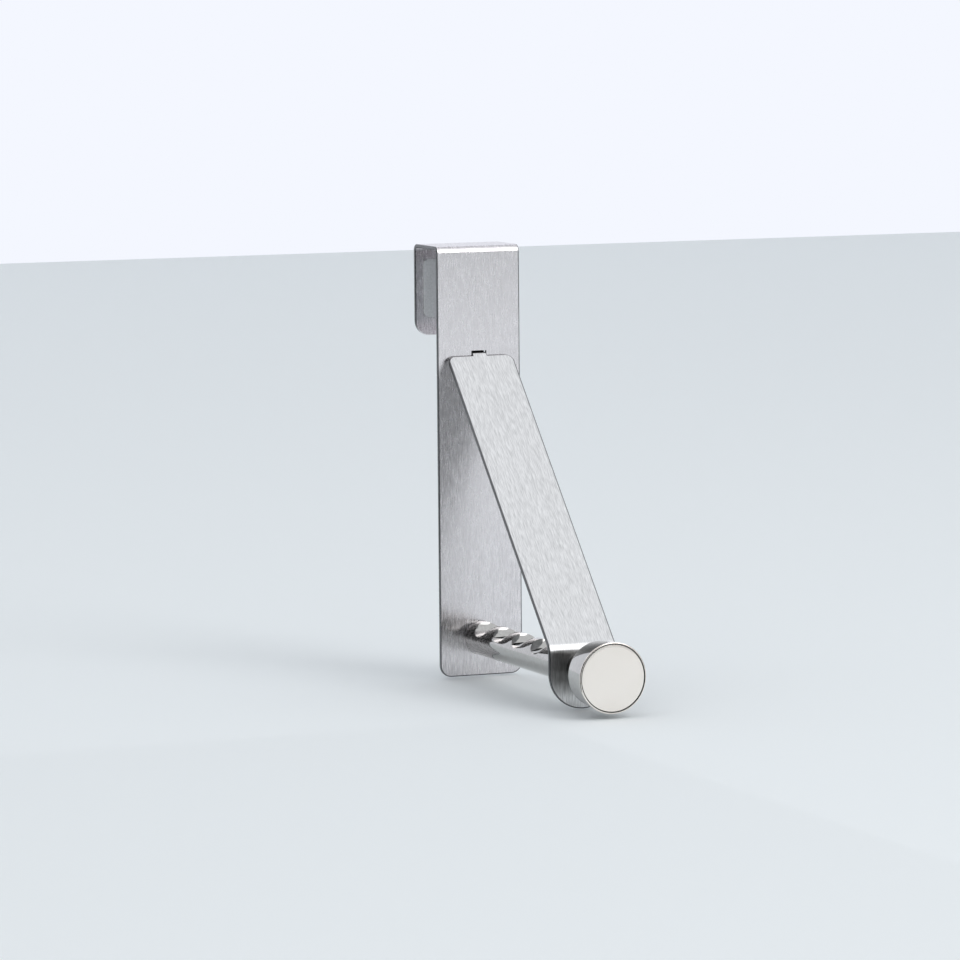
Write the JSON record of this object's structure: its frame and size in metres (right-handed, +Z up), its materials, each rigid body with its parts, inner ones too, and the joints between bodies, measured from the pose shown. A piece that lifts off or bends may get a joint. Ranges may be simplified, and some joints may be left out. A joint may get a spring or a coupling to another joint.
{
  "type": "over-door hook",
  "caption": "Over-door hook: a folded steel strap over a door's top edge with a notched hanger rod, a sloping strut and a round end knob.",
  "frame": {"origin": "middle of the seat under the top flange, on the top edge of the door panel", "axes": "+Z up, +X to the right seen from the front, the rod points along -Y and the door lies in the XZ plane"},
  "size_m": [0.03, 0.1328, 0.1464],
  "materials": {
    "brushed_strip": "stainless strip, brushed along its length",
    "polished_rod": "stainless bar, turned and polished",
    "turned_knob": "stainless, turned, with a satin face and a polished rim",
    "fastener": "plain stainless screw and stud",
    "pad": "pale grey self-adhesive rubber"
  },
  "bodies": {
    "root": {"door_bracket": "brushed_strip", "strut": "brushed_strip", "hanger_rod": "polished_rod", "end_knob": "turned_knob", "rod_screw": "fastener", "knob_stud": "fastener", "upper_pad": "pad", "lower_pad": "pad", "leg_pad": "pad"}
  },
  "joints": []
}
